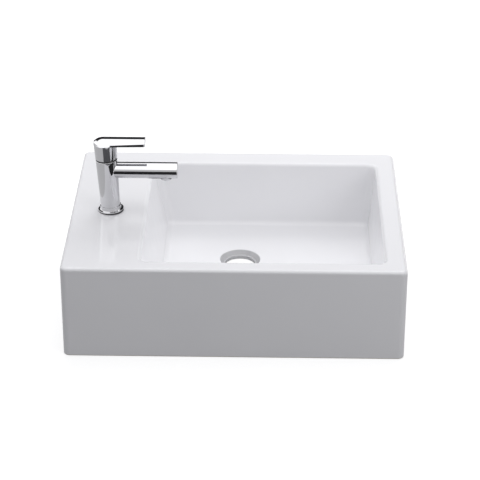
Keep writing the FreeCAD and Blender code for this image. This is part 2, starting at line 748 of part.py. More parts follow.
pull(cartridge_rotor, "Pocket", guides, rib_height - cell.play, away=True)

# Steel pin that the lever stem rocks on
pivot_pin = new_body("pivot_pin", "tap")
pin_round = new_sketch(pivot_pin, "pin_round", "XZ_Plane")
draw_circle(pin_round, cell.pin_radius, 0, pivot)
pull(pivot_pin, "Pad", pin_round, cell.rotor_radius * 2 - 1.2, both=True)

# Lever stem: square bar with a ball below the pivot
lever_stem = new_body("lever_stem", "tap")
square_level = ball_level + cell.ball_radius + 1.6
square = new_sketch(lever_stem, "stem_square", base=(0, 0, square_level))
draw_rectangle(square, -stem_half, stem_half, -stem_half, stem_half)
pull(lever_stem, "Pad", square, cell.stem_level - square_level)
neck = new_sketch(lever_stem, "stem_neck", base=(0, 0, ball_level))
draw_circle(neck, cell.ball_radius - 0.6)
pull(lever_stem, "Pad", neck, square_level - ball_level + 1)
ball = lever_stem.newObject("PartDesign::AdditiveSphere", "stem_ball")
attach(lever_stem, ball, "XY_Plane", (0, 0, ball_level), False)
bind(ball, "Radius", cell.ball_radius)
rock_hole = new_sketch(lever_stem, "rock_hole", "XZ_Plane")
draw_circle(rock_hole, cell.pin_radius + cell.running_fit, 0, pivot)
pull(lever_stem, "Pocket", rock_hole, cell.stem_side + 4, both=True)

# Brass nut that holds the cartridge down: threaded ring with a hexagon on top
nut_top = as_size(6)
cartridge_nut = turned_body("cartridge_nut", "tap", [
    (cell.neck_radius + cell.play + 0.1, cell.mouth_level),
    (cell.mouth_radius - cell.thread_fit, cell.mouth_level),
    (cell.mouth_radius - cell.thread_fit, cell.mouth_level + nut_top / 2),
    (cell.neck_radius + cell.play + 0.1, cell.mouth_level + nut_top / 2),
])
nut_hexagon = new_sketch(cartridge_nut, "nut_hexagon", base=(0, 0, cell.mouth_level + nut_top / 2))
draw_hexagon(nut_hexagon, 22)
draw_circle(nut_hexagon, cell.neck_radius + cell.play + 0.1)
pull(cartridge_nut, "Pad", nut_hexagon, nut_top / 2)

# Cover ring: black plastic screwed into the mouth, its round top follows the swing of the head
ring_inside = cell.mouth_radius - 1.6
ring_blank = turned_body("ring_blank", "tap", [
    (ring_inside, cell.mouth_level + nut_top + 0.4),
    (cell.mouth_radius - cell.thread_fit, cell.mouth_level + nut_top + 0.4),
    (cell.mouth_radius - cell.thread_fit, cell.rim_level),
    (cell.rim_radius - 0.7, cell.rim_level),
    (cell.rim_radius - 0.7, cell.rim_level + 5),
    (ring_inside, cell.rim_level + 5),
])
ring_ball = doc.addObject("Part::Sphere", "ring_ball")
bind(ring_ball, "Radius", head_ball - cell.dome_gap)
bind(ring_ball, "Placement.Base.x", tap_x - lean_sin * pivot)
bind(ring_ball, "Placement.Base.y", tap_y)
bind(ring_ball, "Placement.Base.z", cell.basin_height + lean_cos * pivot)
cover_ring = doc.addObject("Part::Common", "cover_ring")
cover_ring.Label = "cover_ring"
cover_ring.Base = ring_blank
cover_ring.Tool = ring_ball

# Head and lever: one chromed casting, open below, with a square socket for the stem
handle = new_body("handle", "tap")
head = new_sketch(handle, "head_profile", "XZ_Plane")
draw_polygon(head, [
    (0, skirt_level),
    (cell.skirt_radius, skirt_level),
    (cell.head_radius, cell.head_level),
    (cell.cap_radius, cell.crest_level + 1),
    (0, cell.crest_level + 1),
])
turn(handle, "Revolution", head)
paddle = new_sketch(handle, "paddle", base=(0, 0, cell.lever_level), upright=True)
draw_polygon(paddle, [
    (0, -cell.lever_root / 2),
    (cell.lever_reach, -cell.lever_tip / 2),
    (cell.lever_reach, cell.lever_tip / 2),
    (0, cell.lever_root / 2),
])
pull(handle, "Pad", paddle, cell.crest_level - cell.lever_level + 1)
round_edges(handle, "paddle_corners", 2, lambda e: e.BoundBox.XMin > cell.lever_reach.value - 1
            and e.BoundBox.ZLength > 2)
crown_base = (0, cell.crest_level + lean_sin * cell.dome_start, -lean_cos * cell.dome_start)
crown = new_sketch(handle, "crown", "YZ_Plane", base=crown_base, upright=True)
draw_crown(crown, cell.head_radius + 3, cell.crown_radius, 5, True)
pull(handle, "Pocket", crown, cell.lever_reach + 10, away=True)
dome = new_sketch(handle, "head_dome", "YZ_Plane", base=crown_base, upright=True)
draw_crown(dome, cell.head_radius + 3, cell.crown_radius, 5, False)
dome_cut = turn(handle, "Groove", dome)
dome_cut.Angle = 180
cavity = new_sketch(handle, "head_cavity", "XZ_Plane")
draw_polygon(cavity, [
    (cell.boss_radius, skirt_level),
    (cell.skirt_radius - cell.head_wall, skirt_level),
    (cell.skirt_radius - cell.head_wall, cell.head_level - cell.head_roof),
    (cell.boss_radius, cell.head_level - cell.head_roof),
])
turn(handle, "Groove", cavity)
swing = handle.newObject("PartDesign::SubtractiveSphere", "swing_sphere")
attach(handle, swing, "XY_Plane", (0, 0, pivot), False)
bind(swing, "Radius", head_ball)
stem_socket = new_sketch(handle, "stem_socket", base=(0, 0, skirt_level))
socket_half = stem_half + cell.close_fit
draw_rectangle(stem_socket, -socket_half, socket_half, -socket_half, socket_half)
pull(handle, "Pocket", stem_socket, cell.stem_level - skirt_level + cell.play, away=True)
screw_hole = new_sketch(handle, "screw_hole", "YZ_Plane")
draw_circle(screw_hole, cell.screw_radius + cell.close_fit, 0, cell.screw_level)
pull(handle, "Pocket", screw_hole, cell.boss_radius + 2, away=True)
plug_hole = new_sketch(handle, "plug_hole", "YZ_Plane", base=(0, 0, cell.boss_radius + 4))
draw_circle(plug_hole, cell.plug_radius + cell.close_fit, 0, cell.screw_level)
pull(handle, "Pocket", plug_hole, cell.head_radius - cell.boss_radius, away=True)

# Grub screw that locks the head on the stem
grub_screw = new_body("grub_screw", "tap")
screw_start = stem_half + 0.02
screw_length = as_size(6)
shank = new_sketch(grub_screw, "screw_round", "YZ_Plane", base=(0, 0, screw_start))
draw_circle(shank, cell.screw_radius, 0, cell.screw_level)
pull(grub_screw, "Pad", shank, screw_length)
key_socket = new_sketch(grub_screw, "screw_socket", "YZ_Plane", base=(0, 0, screw_start + screw_length))
draw_hexagon(key_socket, 2, 0, cell.screw_level)
pull(grub_screw, "Pocket", key_socket, 2)

# Plug that closes the screw hole in the head
index_plug = new_body("index_plug", "tap")
plug_start = cell.skirt_radius - cell.head_wall - 0.4
plug_round = new_sketch(index_plug, "plug_round", "YZ_Plane", base=(0, 0, plug_start))
draw_circle(plug_round, cell.plug_radius, 0, cell.screw_level)
pull(index_plug, "Pad", plug_round, cell.head_wall + 0.8)

# Aerator sunk into the spout near its tip: threaded ring, plastic insert with jets, rubber washer
washer_height = as_size(1.2)
lip_height = as_size(0.8)
housing_top = cell.outlet_depth - washer_height
insert_radius = cell.outlet_thread - 1.5
aerator_washer = turned_body("aerator_washer", "outlet", [
    (insert_radius - 0.9, housing_top),
    (cell.outlet_thread - cell.thread_fit, housing_top),
    (cell.outlet_thread - cell.thread_fit, cell.outlet_depth),
    (insert_radius - 0.9, cell.outlet_depth),
])
aerator_housing = turned_body("aerator_housing", "outlet", [
    (insert_radius - 0.6, 0),
    (cell.outlet_thread - cell.thread_fit, 0),
    (cell.outlet_thread - cell.thread_fit, housing_top),
    (insert_radius + cell.running_fit, housing_top),
    (insert_radius + cell.running_fit, lip_height),
    (insert_radius - 0.6, lip_height),
])
aerator_insert = turned_body("aerator_insert", "outlet", [
    (0, lip_height),
    (insert_radius, lip_height),
    (insert_radius, housing_top),
    (0, housing_top),
])
jet = new_sketch(aerator_insert, "jet")
draw_circle(jet, 0.55, insert_radius - 1.9, 0)
jet_hole = pull(aerator_insert, "Pocket", jet, housing_top + 2, away=True)
jets = aerator_insert.newObject("PartDesign::PolarPattern", "jet_ring")
jets.Originals = [jet_hole]
jets.Axis = (jet, ["N_Axis"])
jets.Angle = 360
jets.Occurrences = 12
aerator_insert.Tip = jets

# Fixing under the ledge: stud, rubber and steel horseshoes, nut
clamp_thick = as_size(2.5)
pad_thick = as_size(3)
fixing_stud = new_body("fixing_stud", "ledge")
stud = new_sketch(fixing_stud, "stud_round", base=(0, 0, -cell.stud_below))
draw_circle(stud, cell.stud_radius, -cell.stud_x, 0)
pull(fixing_stud, "Pad", stud, cell.stud_below + 13)


def horseshoe(name, top, thickness):
    body = new_body(name, "ledge")
    plate = new_sketch(body, f"{name}_round", base=(0, 0, top))
    draw_circle(plate, cell.tap_hole / 2 + 7)
    pull(body, "Pad", plate, thickness, away=True)
    mouth = new_sketch(body, f"{name}_mouth", base=(0, 0, top))
    draw_circle(mouth, 12.5, 8, 0)
    pull(body, "Pocket", mouth, thickness + 1)
    gate = new_sketch(body, f"{name}_gate", base=(0, 0, top))
    draw_rectangle(gate, as_size(8), as_size(40), as_size(-12.4), as_size(12.4))
    pull(body, "Pocket", gate, thickness + 1)
    hole = new_sketch(body, f"{name}_hole", base=(0, 0, top))
    draw_circle(hole, cell.stud_radius + cell.play, -cell.stud_x, 0)
    pull(body, "Pocket", hole, thickness + 1)
    return body


clamp_washer = horseshoe("clamp_washer", -cell.deck_wall, pad_thick)
clamp_plate = horseshoe("clamp_plate", -cell.deck_wall - pad_thick, clamp_thick)
fixing_nut = new_body("fixing_nut", "ledge")
nut_level = -cell.deck_wall - pad_thick - clamp_thick
hexagon = new_sketch(fixing_nut, "nut_sides", base=(0, 0, nut_level))
draw_hexagon(hexagon, 10, -cell.stud_x, 0)
draw_circle(hexagon, cell.stud_radius + cell.thread_fit, -cell.stud_x, 0)
pull(fixing_nut, "Pad", hexagon, 9, away=True)

doc.recompute()

PIECES = [
    basin, mixer_body, base_flange, base_seal, cartridge_base, cartridge_seals, fixed_disc, moving_disc,
    disc_carrier, cartridge_housing, housing_seal, cartridge_rotor, rotor_seal, pivot_pin, lever_stem,
    cartridge_nut, cover_ring, handle, grub_screw, index_plug, aerator_housing, aerator_insert,
    aerator_washer, fixing_stud, clamp_washer, clamp_plate, fixing_nut,
]
for thing in doc.Objects:
    if "Invalid" in thing.State or "Error" in thing.State:
        raise RuntimeError(f"{thing.Name} did not build: {thing.State}")
for piece in PIECES:
    if piece.Shape.isNull() or not piece.Shape.isValid():
        raise RuntimeError(f"{piece.Label} has no valid shape")
    piece.Shape.exportStep(f"parts/{piece.Label}.step")
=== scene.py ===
import json
import math

import bmesh
import bpy
from mathutils import Matrix, Quaternion, Vector


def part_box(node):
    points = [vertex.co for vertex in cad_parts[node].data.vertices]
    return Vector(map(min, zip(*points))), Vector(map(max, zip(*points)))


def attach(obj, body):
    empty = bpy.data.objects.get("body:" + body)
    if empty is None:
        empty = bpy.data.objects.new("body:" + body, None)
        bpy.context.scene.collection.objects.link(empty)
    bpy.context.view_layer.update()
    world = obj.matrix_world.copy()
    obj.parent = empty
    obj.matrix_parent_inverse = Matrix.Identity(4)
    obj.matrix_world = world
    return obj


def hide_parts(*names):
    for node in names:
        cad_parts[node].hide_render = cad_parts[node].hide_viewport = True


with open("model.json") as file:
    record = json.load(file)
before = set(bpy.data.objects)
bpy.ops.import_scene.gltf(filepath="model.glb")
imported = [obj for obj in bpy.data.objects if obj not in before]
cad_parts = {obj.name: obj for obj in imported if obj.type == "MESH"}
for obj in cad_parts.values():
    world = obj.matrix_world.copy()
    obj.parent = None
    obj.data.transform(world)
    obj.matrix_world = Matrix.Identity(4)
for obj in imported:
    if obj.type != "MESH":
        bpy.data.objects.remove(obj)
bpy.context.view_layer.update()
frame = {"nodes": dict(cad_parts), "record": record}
nodes = frame["nodes"]

# Basin: one slip-cast vitreous body, fired under a thick white glaze. The bowl hangs from the deck
# and the skirts stand on the counter; the underside is open. Only the standing edge is unglazed.
basin_low, basin_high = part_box("basin")
SIDES = ("right", "back", "left", "front")
deck_level = basin_high[2]
floor_level = 0.0455
under_floor = 0.0305
outer_corner = 0.010
bowl_corner = 0.012
standing_round = 0.0015
bowl_edge_round = 0.006
fold_round = 0.010
top_round = {"right": 0.0075, "back": 0.006, "left": 0.0045, "front": 0.0048}
rim_width = {"right": 0.031, "back": 0.0425, "left": 0.1135, "front": 0.027}
wall_run = {"right": 0.011, "back": 0.017, "left": 0.025, "front": 0.017}
roof_level = {"right": 0.108, "back": 0.133, "left": 0.133, "front": 0.108}
skirt_wall = 0.011
bowl_wall = 0.011
tub_corner = 0.020
skirt_corner = 0.004
waste_centre = Vector((0.0055, 0.025, 0))
waste_bore = 0.023
waste_seat = 0.032
waste_seat_level = 0.0435
waste_foot = 0.0255
waste_throat_level = 0.037
waste_lap = 0.004
seat_round = 0.0012
throat_round = 0.001
outlet_round = 0.0015
dish_reach = 0.098
dish_steps = 10
floor_lap = 0.015
under_lap = 0.020
under_ring = 0.090
tub_fold = 0.010
roof_round = 0.004
least_corner = 0.001
least_bowl_corner = 0.003
corner_steps = 12
side_steps = 36
crease_angle = math.radians(32)


def rounded_path(corners, steps=8, hold=0.0004):
    """A line through corners given as (point, radius), with the corners turned into arcs.

    A short straight piece stays beside each arc, so that the flat faces next to it shade flat.
    """
    path = [corners[0][0]]
    for (before, _), (point, radius), (after, _) in zip(corners, corners[1:], corners[2:]):
        if radius == 0:
            path.append(point)
            continue
        back = before - point
        ahead = after - point
        reach = 0.45 * min(back.length, ahead.length)
        back.normalize()
        ahead.normalize()
        half_angle = back.angle(ahead) / 2
        tangent = min(radius / math.tan(half_angle), reach)
        hold_here = min(hold, reach / 5)
        start = point + back * tangent
        end = point + ahead * tangent
        path.append(start + back * hold_here)
        if half_angle > math.radians(89.5):
            path += [start.lerp(end, step / steps) for step in range(steps + 1)]
        else:
            centre = point + (back + ahead).normalized() * (tangent / math.cos(half_angle))
            first = start - centre
            axis = first.cross(end - centre)
            turn = math.pi - 2 * half_angle
            for step in range(steps + 1):
                path.append(centre + Quaternion(axis, turn * step / steps) @ first)
        path.append(end + ahead * hold_here)
    path.append(corners[-1][0])
    return path


def skin(name, rings, loop):
    """A smooth mesh object stretched over closed rings of points.

    With loop, the last ring is joined to the first.
    """
    shape = bmesh.new()
    rows = [[shape.verts.new(point) for point in ring] for ring in rings]
    count = len(rows[0])
    for row, following in zip(rows, rows[1:] + rows[:1] if loop else rows[1:]):
        for step in range(count):
            ahead = (step + 1) % count
            shape.faces.new((row[step], row[ahead], following[ahead], following[step]))
    bmesh.ops.remove_doubles(shape, verts=shape.verts, dist=2e-7)
    bmesh.ops.dissolve_degenerate(shape, edges=shape.edges, dist=1e-7)
    bmesh.ops.recalc_face_normals(shape, faces=shape.faces)
    return as_object(name, shape)


def as_object(name, shape):
    """A smooth object in the scene from a shape that is still being edited."""
    mesh = bpy.data.meshes.new(name)
    shape.to_mesh(mesh)
    shape.free()
    mesh.shade_smooth()
    mesh.set_sharp_from_angle(angle=crease_angle)
    thing = bpy.data.objects.new(name, mesh)
    bpy.context.collection.objects.link(thing)
    return thing


def carve(thing, tool, operation):
    """Cuts the tool out of a piece, or joins it on, and throws the tool away."""
    cut = thing.modifiers.new("carve", "BOOLEAN")
    cut.operation = operation
    cut.solver = "EXACT"
    cut.object = tool
    ready = thing.evaluated_get(bpy.context.evaluated_depsgraph_get())
    mesh = bpy.data.meshes.new_from_object(ready)
    thing.modifiers.remove(cut)
    plain = thing.data
    thing.data = mesh
    bpy.data.meshes.remove(plain)
    bpy.data.objects.remove(tool)
    mesh.name = thing.name
    mesh.shade_smooth()
    mesh.set_sharp_from_angle(angle=crease_angle)


def basin_ring(inset, level, corner):
    """A rounded rectangle, with an inset from the outside, a level and a corner size for each side."""
    place = {
        "right": basin_high[0] - inset["right"],
        "back": basin_high[1] - inset["back"],
        "left": basin_low[0] + inset["left"],
        "front": basin_low[1] + inset["front"],
    }
    arcs = []
    for quarter, (one, other) in enumerate(zip(SIDES, SIDES[1:] + SIDES[:1])):
        across, along = (one, other) if one in ("right", "left") else (other, one)
        sign_x = 1 if across == "right" else -1
        sign_y = 1 if along == "back" else -1
        centre_x = place[across] - sign_x * corner[across]
        centre_y = place[along] - sign_y * corner[along]
        arc = []
        for step in range(corner_steps + 1):
            part = step / corner_steps
            angle = math.radians(90 * (quarter + part))
            x = centre_x + corner[across] * math.cos(angle)
            y = centre_y + corner[along] * math.sin(angle)
            z = level[one] * (1 - part) + level[other] * part
            arc.append(Vector((x, y, z)))
        arcs.append(arc)
    points = []
    for arc, following in zip(arcs, arcs[1:] + arcs[:1]):
        points += arc
        points += [arc[-1].lerp(following[0], step / side_steps) for step in range(1, side_steps)]
    return points


def basin_rings(profile, corner_at):
    """Rings for a profile of (inset, level) corners that is worked out for each side by itself."""
    paths = {}
    for side in SIDES:
        corners = [(Vector((inset, level, 0)), radius) for inset, level, radius in profile(side)]
        paths[side] = rounded_path(corners)
    rings = []
    for number in range(len(paths["left"])):
        inset = {side: paths[side][number].x for side in SIDES}
        level = {side: paths[side][number].y for side in SIDES}
        corner = {side: corner_at(side, inset[side], level[side]) for side in SIDES}
        rings.append(basin_ring(inset, level, corner))
    return rings


def outside_profile(side):
    """From the standing edge up the skirt and over onto the deck."""
    return [
        (skirt_wall * 0.4, 0, 0),
        (0, 0, standing_round),
        (0, deck_level, top_round[side]),
        (rim_width[side] * 0.5, deck_level, 0),
    ]


def bowl_line(side, level):
    """The inset of the sloping bowl wall at a level."""
    return rim_width[side] + wall_run[side] * (deck_level - level) / (deck_level - floor_level)


def bowl_profile(side):
    """From the deck over the rim and down the bowl wall onto its floor."""
    floor_edge = rim_width[side] + wall_run[side]
    return [
        (rim_width[side] * 0.6, deck_level, 0),
        (rim_width[side], deck_level, bowl_edge_round),
        (floor_edge, floor_level, fold_round),
        (floor_edge + floor_lap, floor_level, 0),
    ]


def tub_line(side, level):
    """The inset of the bowl wall's hidden side at a level."""
    return bowl_line(side, level) - bowl_wall


def tub_profile(side):
    """From under the bowl floor up the hidden side of its wall to the underside of the deck."""
    roof = roof_level[side]
    return [
        (tub_line(side, under_floor) + under_lap, under_floor, 0),
        (tub_line(side, under_floor), under_floor, tub_fold),
        (tub_line(side, roof), roof, roof_round),
        (tub_line(side, roof) * 0.6 + skirt_wall * 0.4, roof, 0),
    ]


def skirt_profile(side):
    """From the underside of the deck down the inside of the skirt to the standing edge."""
    roof = roof_level[side]
    return [
        (tub_line(side, roof) * 0.4 + skirt_wall * 0.6, roof, 0),
        (skirt_wall, roof, roof_round),
        (skirt_wall, 0, standing_round),
        (skirt_wall * 0.6, 0, 0),
    ]


outside = basin_rings(
    outside_profile,
    lambda side, inset, level: max(outer_corner - inset, least_corner),
)[:-1]
bowl = basin_rings(
    bowl_profile,
    lambda side, inset, level: max(bowl_corner + bowl_line(side, level) - inset, least_bowl_corner),
)[1:-1]
tub = basin_rings(tub_profile, lambda side, inset, level: tub_corner)[1:-1]
skirt = basin_rings(skirt_profile, lambda side, inset, level: skirt_corner)[1:]

floor_ring = bowl[-1]
ring_count = len(floor_ring)
own_angles = []
for point in floor_ring:
    offset = point - waste_centre
    angle = math.atan2(offset.y, offset.x)
    if own_angles and angle < own_angles[-1] - math.pi:
        angle += math.tau
    own_angles.append(angle)


def waste_ring(radius, level):
    """A circle about the waste, with its points spread evenly near the hole."""
    even = min(max((dish_reach - radius) / (dish_reach - waste_seat), 0), 1)
    ring = []
    for number, own in enumerate(own_angles):
        spread = own_angles[0] + math.tau * number / ring_count
        angle = own + (spread - own) * even
        ring.append(Vector((
            waste_centre.x + radius * math.cos(angle),
            waste_centre.y + radius * math.sin(angle),
            level,
        )))
    return ring


dish_run = dish_reach - waste_seat - 1.5 * waste_lap
dish_radii = [dish_reach - dish_run * step / dish_steps for step in range(dish_steps + 1)]
dish_slope = (floor_level - waste_seat_level) / (dish_reach - waste_seat)
waste_path = rounded_path([
    (Vector((waste_seat + waste_lap, waste_seat_level + dish_slope * waste_lap, 0)), 0),
    (Vector((waste_seat, waste_seat_level, 0)), seat_round),
    (Vector((waste_foot, waste_throat_level, 0)), throat_round),
    (Vector((waste_bore, waste_throat_level, 0)), throat_round),
    (Vector((waste_bore, under_floor, 0)), outlet_round),
    (Vector((waste_seat + waste_lap, under_floor, 0)), 0),
])
waste = [waste_ring(radius, floor_level - dish_slope * (dish_reach - radius)) for radius in dish_radii]
waste += [waste_ring(point.x, point.y) for point in waste_path]
waste.append(waste_ring(under_ring, under_floor))

basin = skin("basin_casting", outside + bowl + waste + tub + skirt, True)

swing_joint = next(j for j in frame["record"]["behaviour"]["joints"] if j["name"] == "temperature_swing")
tap_axis = Vector(swing_joint["axis"])
lever_pivot = Vector(swing_joint["pos_m"])
pivot_above_deck = 0.0754
tap_foot = lever_pivot - tap_axis * pivot_above_deck
tap_lean = math.atan2(-tap_axis.x, tap_axis.z)
tap_seat = Matrix.Translation(tap_foot) @ Matrix.Rotation(-tap_lean, 4, "Y")
turn_steps = 144


def turned(name, corners, seat, steps=8, loop=False):
    """A piece turned about the upright axis of its seat, from (radius, height, round) corners."""
    path = rounded_path([(Vector((r, 0, z)), rounding) for r, z, rounding in corners], steps, 0.0002)
    rings = []
    for point in path:
        ring = []
        for step in range(turn_steps):
            angle = math.tau * step / turn_steps
            ring.append(seat @ Vector((point.x * math.cos(angle), point.x * math.sin(angle), point.z)))
        rings.append(ring)
    return skin(name, rings, loop)


tap_hole = 0.015
deck_wall = 0.012
hole_lap = 0.004
hole_tool = turned("tap_hole_tool", [
    (0, -deck_wall - hole_lap, 0),
    (tap_hole, -deck_wall - hole_lap, 0),
    (tap_hole, hole_lap, 0),
    (0, hole_lap, 0),
], Matrix.Translation(tap_foot))
carve(basin, hole_tool, "DIFFERENCE")


def new_finish(name, colour, roughness, metallic=0.0):
    """A material with its shader, ready for the nodes that vary it."""
    finish = bpy.data.materials.new(name)
    finish.use_nodes = True
    shader = finish.node_tree.nodes["Principled BSDF"]
    shader.inputs["Base Color"].default_value = (*colour, 1)
    shader.inputs["Roughness"].default_value = roughness
    shader.inputs["Metallic"].default_value = metallic
    return finish, shader


def add_node(finish, kind, **settings):
    """A new node in a material or the room, with its inputs or settings by name."""
    node = finish.node_tree.nodes.new(kind)
    for name, value in settings.items():
        if name in node.inputs:
            node.inputs[name].default_value = value
        else:
            setattr(node, name.lower(), value)
    return node


def noise_on_object(finish, scale, detail, stretch=(1, 1, 1)):
    """Noise on the piece's own coordinates, so many cells to the metre."""
    links = finish.node_tree.links
    where = add_node(finish, "ShaderNodeTexCoord")
    mapping = add_node(finish, "ShaderNodeMapping")
    mapping.inputs["Scale"].default_value = stretch
    noise = add_node(finish, "ShaderNodeTexNoise", Scale=scale, Detail=detail, Roughness=0.55)
    links.new(where.outputs["Object"], mapping.inputs["Vector"])
    links.new(mapping.outputs["Vector"], noise.inputs["Vector"])
    return noise.outputs["Fac"]


def ramp(finish, value, low, high, start=0.0, end=1.0):
    """Goes from start to end while a value goes from low to high, which may be the smaller one."""
    node = add_node(finish, "ShaderNodeMapRange")
    node.inputs["From Min"].default_value = low
    node.inputs["From Max"].default_value = high
    node.inputs["To Min"].default_value = start
    node.inputs["To Max"].default_value = end
    finish.node_tree.links.new(value, node.inputs["Value"])
    return node.outputs["Result"]


def spread(finish, factor, low, high):
    """Turns the middle of a noise into a range of values."""
    return ramp(finish, factor, 0.3, 0.7, low, high)


def tint(finish, factor, one, other):
    """A colour between two, by a factor; each is a colour or comes from another node."""
    node = add_node(finish, "ShaderNodeMix")
    node.data_type = "RGBA"
    links = finish.node_tree.links
    for socket, colour in zip([s for s in node.inputs if s.type == "RGBA"], (one, other)):
        if isinstance(colour, tuple):
            socket.default_value = (*colour, 1)
        else:
            links.new(colour, socket)
    links.new(factor, node.inputs["Factor"])
    return next(s for s in node.outputs if s.type == "RGBA")


def relief(finish, shader, factor, depth):
    """Raises the surface by a height in metres."""
    node = add_node(finish, "ShaderNodeBump", Strength=1.0, Distance=depth)
    finish.node_tree.links.new(factor, node.inputs["Height"])
    finish.node_tree.links.new(node.outputs["Normal"], shader.inputs["Normal"])


def place_on_object(finish):
    """The piece's own coordinates, whole and split."""
    where = add_node(finish, "ShaderNodeTexCoord")
    parts = add_node(finish, "ShaderNodeSeparateXYZ")
    finish.node_tree.links.new(where.outputs["Object"], parts.inputs["Vector"])
    return where.outputs["Object"], parts.outputs


def both(finish, one, other):
    """The product of two factors."""
    node = add_node(finish, "ShaderNodeMath")
    node.operation = "MULTIPLY"
    finish.node_tree.links.new(one, node.inputs[0])
    finish.node_tree.links.new(other, node.inputs[1])
    return node.outputs["Value"]


glaze_white = (0.83, 0.83, 0.845)
glaze_thin_pool = (0.815, 0.815, 0.83)
glaze_thick_pool = (0.845, 0.845, 0.86)
# The grey below is painted shade for the waste hole's flared seat.
seat_shade_grey = (0.47, 0.47, 0.48)
bare_clay = (0.70, 0.67, 0.61)
bare_roughness = 0.85
bare_rise = 0.0022
bare_fade = 0.0008
seat_lip = 0.0002
seat_fade = 0.001

glaze, shader = new_finish("white_glaze", glaze_white, 0.08)
links = glaze.node_tree.links
spot, spot_parts = place_on_object(glaze)
flat = add_node(glaze, "ShaderNodeVectorMath")
flat.operation = "MULTIPLY"
flat.inputs[1].default_value = (1, 1, 0)
from_waste = add_node(glaze, "ShaderNodeVectorMath")
from_waste.operation = "DISTANCE"
from_waste.inputs[1].default_value = waste_centre
links.new(spot, flat.inputs[0])
links.new(flat.outputs["Vector"], from_waste.inputs[0])
# Painted shade: the flared seat of the waste hole is tinted grey to stand for the shade down in the hole.
# The bore below the throat stays white.
seat_edge = waste_seat - seat_lip
near_waste = ramp(glaze, from_waste.outputs["Value"], seat_edge, seat_edge - seat_fade)
below_seat = ramp(glaze, spot_parts["Z"], waste_seat_level, waste_seat_level - seat_lip - seat_fade)
above_throat = ramp(glaze, spot_parts["Z"], waste_throat_level - seat_fade, waste_throat_level)
painted_seat_shade = both(glaze, both(glaze, near_waste, below_seat), above_throat)
bare_edge = ramp(glaze, spot_parts["Z"], bare_rise, bare_rise - bare_fade)
pool = noise_on_object(glaze, scale=9, detail=2)
white = tint(glaze, pool, glaze_thin_pool, glaze_thick_pool)
white_with_seat_shade = tint(glaze, painted_seat_shade, white, seat_shade_grey)
links.new(tint(glaze, bare_edge, white_with_seat_shade, bare_clay), shader.inputs["Base Color"])
gloss = spread(glaze, noise_on_object(glaze, scale=60, detail=3), 0.06, 0.11)
matt = add_node(glaze, "ShaderNodeMix")
matt.inputs["B"].default_value = bare_roughness
links.new(bare_edge, matt.inputs["Factor"])
links.new(gloss, matt.inputs["A"])
links.new(matt.outputs["Result"], shader.inputs["Roughness"])
relief(glaze, shader, noise_on_object(glaze, scale=38, detail=1), depth=0.00012)
basin.data.materials.append(glaze)
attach(basin, "basin_and_tap")
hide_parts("basin")

# Mixer body: chromed brass casting, turned to a slight taper, leaning to the left on the ledge.
# Its level round spout is cast on; the cartridge drops into the mouth on top. The waterways, the
# hose inlets and the hole of the stud are in the CAD solid only.
foot_radius = 0.0148
rim_radius = 0.0163
rim_level = 0.0849
spout_level = 0.0674
spout_radius = 0.0125
spout_reach = 0.106
outlet_setback = 0.0176
outlet_radius = 0.009
outlet_foot = 0.0135
outlet_depth = 0.008
chamber_radius = 0.013
chamber_level = 0.047
mouth_radius = 0.014
mouth_level = 0.074
foot_seal = 0.0014
foot_straight = 0.010
foot_edge = 0.0003
waist_round = 0.030
mouth_edge = 0.0005
spout_edge = 0.0012
mouth_lap = 0.002
outlet_lap = 0.020

chrome_grey = (0.56, 0.56, 0.575)
chrome, shader = new_finish("polished_chrome", chrome_grey, 0.05, 1.0)
links = chrome.node_tree.links
wiped = noise_on_object(chrome, scale=120, detail=3)
links.new(spread(chrome, wiped, 0.035, 0.075), shader.inputs["Roughness"])
relief(chrome, shader, noise_on_object(chrome, scale=70, detail=1), depth=0.00001)


def chromed(thing, body, *replaced):
    """Plates a piece of the tap and lets it ride on its body."""
    thing.data.materials.append(chrome)
    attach(thing, body)
    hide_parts(*replaced)


mixer_body = turned("tap_body", [
    (0, foot_seal, 0),
    (foot_radius, foot_seal, foot_edge),
    (foot_radius, foot_straight, waist_round),
    (rim_radius, rim_level, mouth_edge),
    (0, rim_level, 0),
], tap_seat)
spout_start = tap_seat @ Vector((0, 0, spout_level))
spout_seat = Matrix.Translation(spout_start) @ Matrix.Rotation(math.radians(90), 4, "Y")
spout = turned("spout_tube", [
    (0, 0, 0),
    (spout_radius, 0, 0),
    (spout_radius, spout_reach, spout_edge),
    (0, spout_reach, 0),
], spout_seat)
carve(mixer_body, spout, "UNION")
chamber = turned("chamber_tool", [
    (0, chamber_level, 0),
    (chamber_radius, chamber_level, 0),
    (chamber_radius, mouth_level, 0),
    (mouth_radius, mouth_level, 0),
    (mouth_radius, rim_level + mouth_lap, 0),
    (0, rim_level + mouth_lap, 0),
], tap_seat)
carve(mixer_body, chamber, "DIFFERENCE")
outlet_centre = spout_start + Vector((spout_reach - outlet_setback, 0, 0))
outlet = turned("outlet_tool", [
    (0, -outlet_lap, 0),
    (outlet_radius, -outlet_lap, 0),
    (outlet_radius, outlet_depth - outlet_foot, 0),
    (0, outlet_depth - outlet_foot, 0),
], Matrix.Translation(outlet_centre))
carve(mixer_body, outlet, "DIFFERENCE")
chromed(mixer_body, "basin_and_tap", "mixer_body")

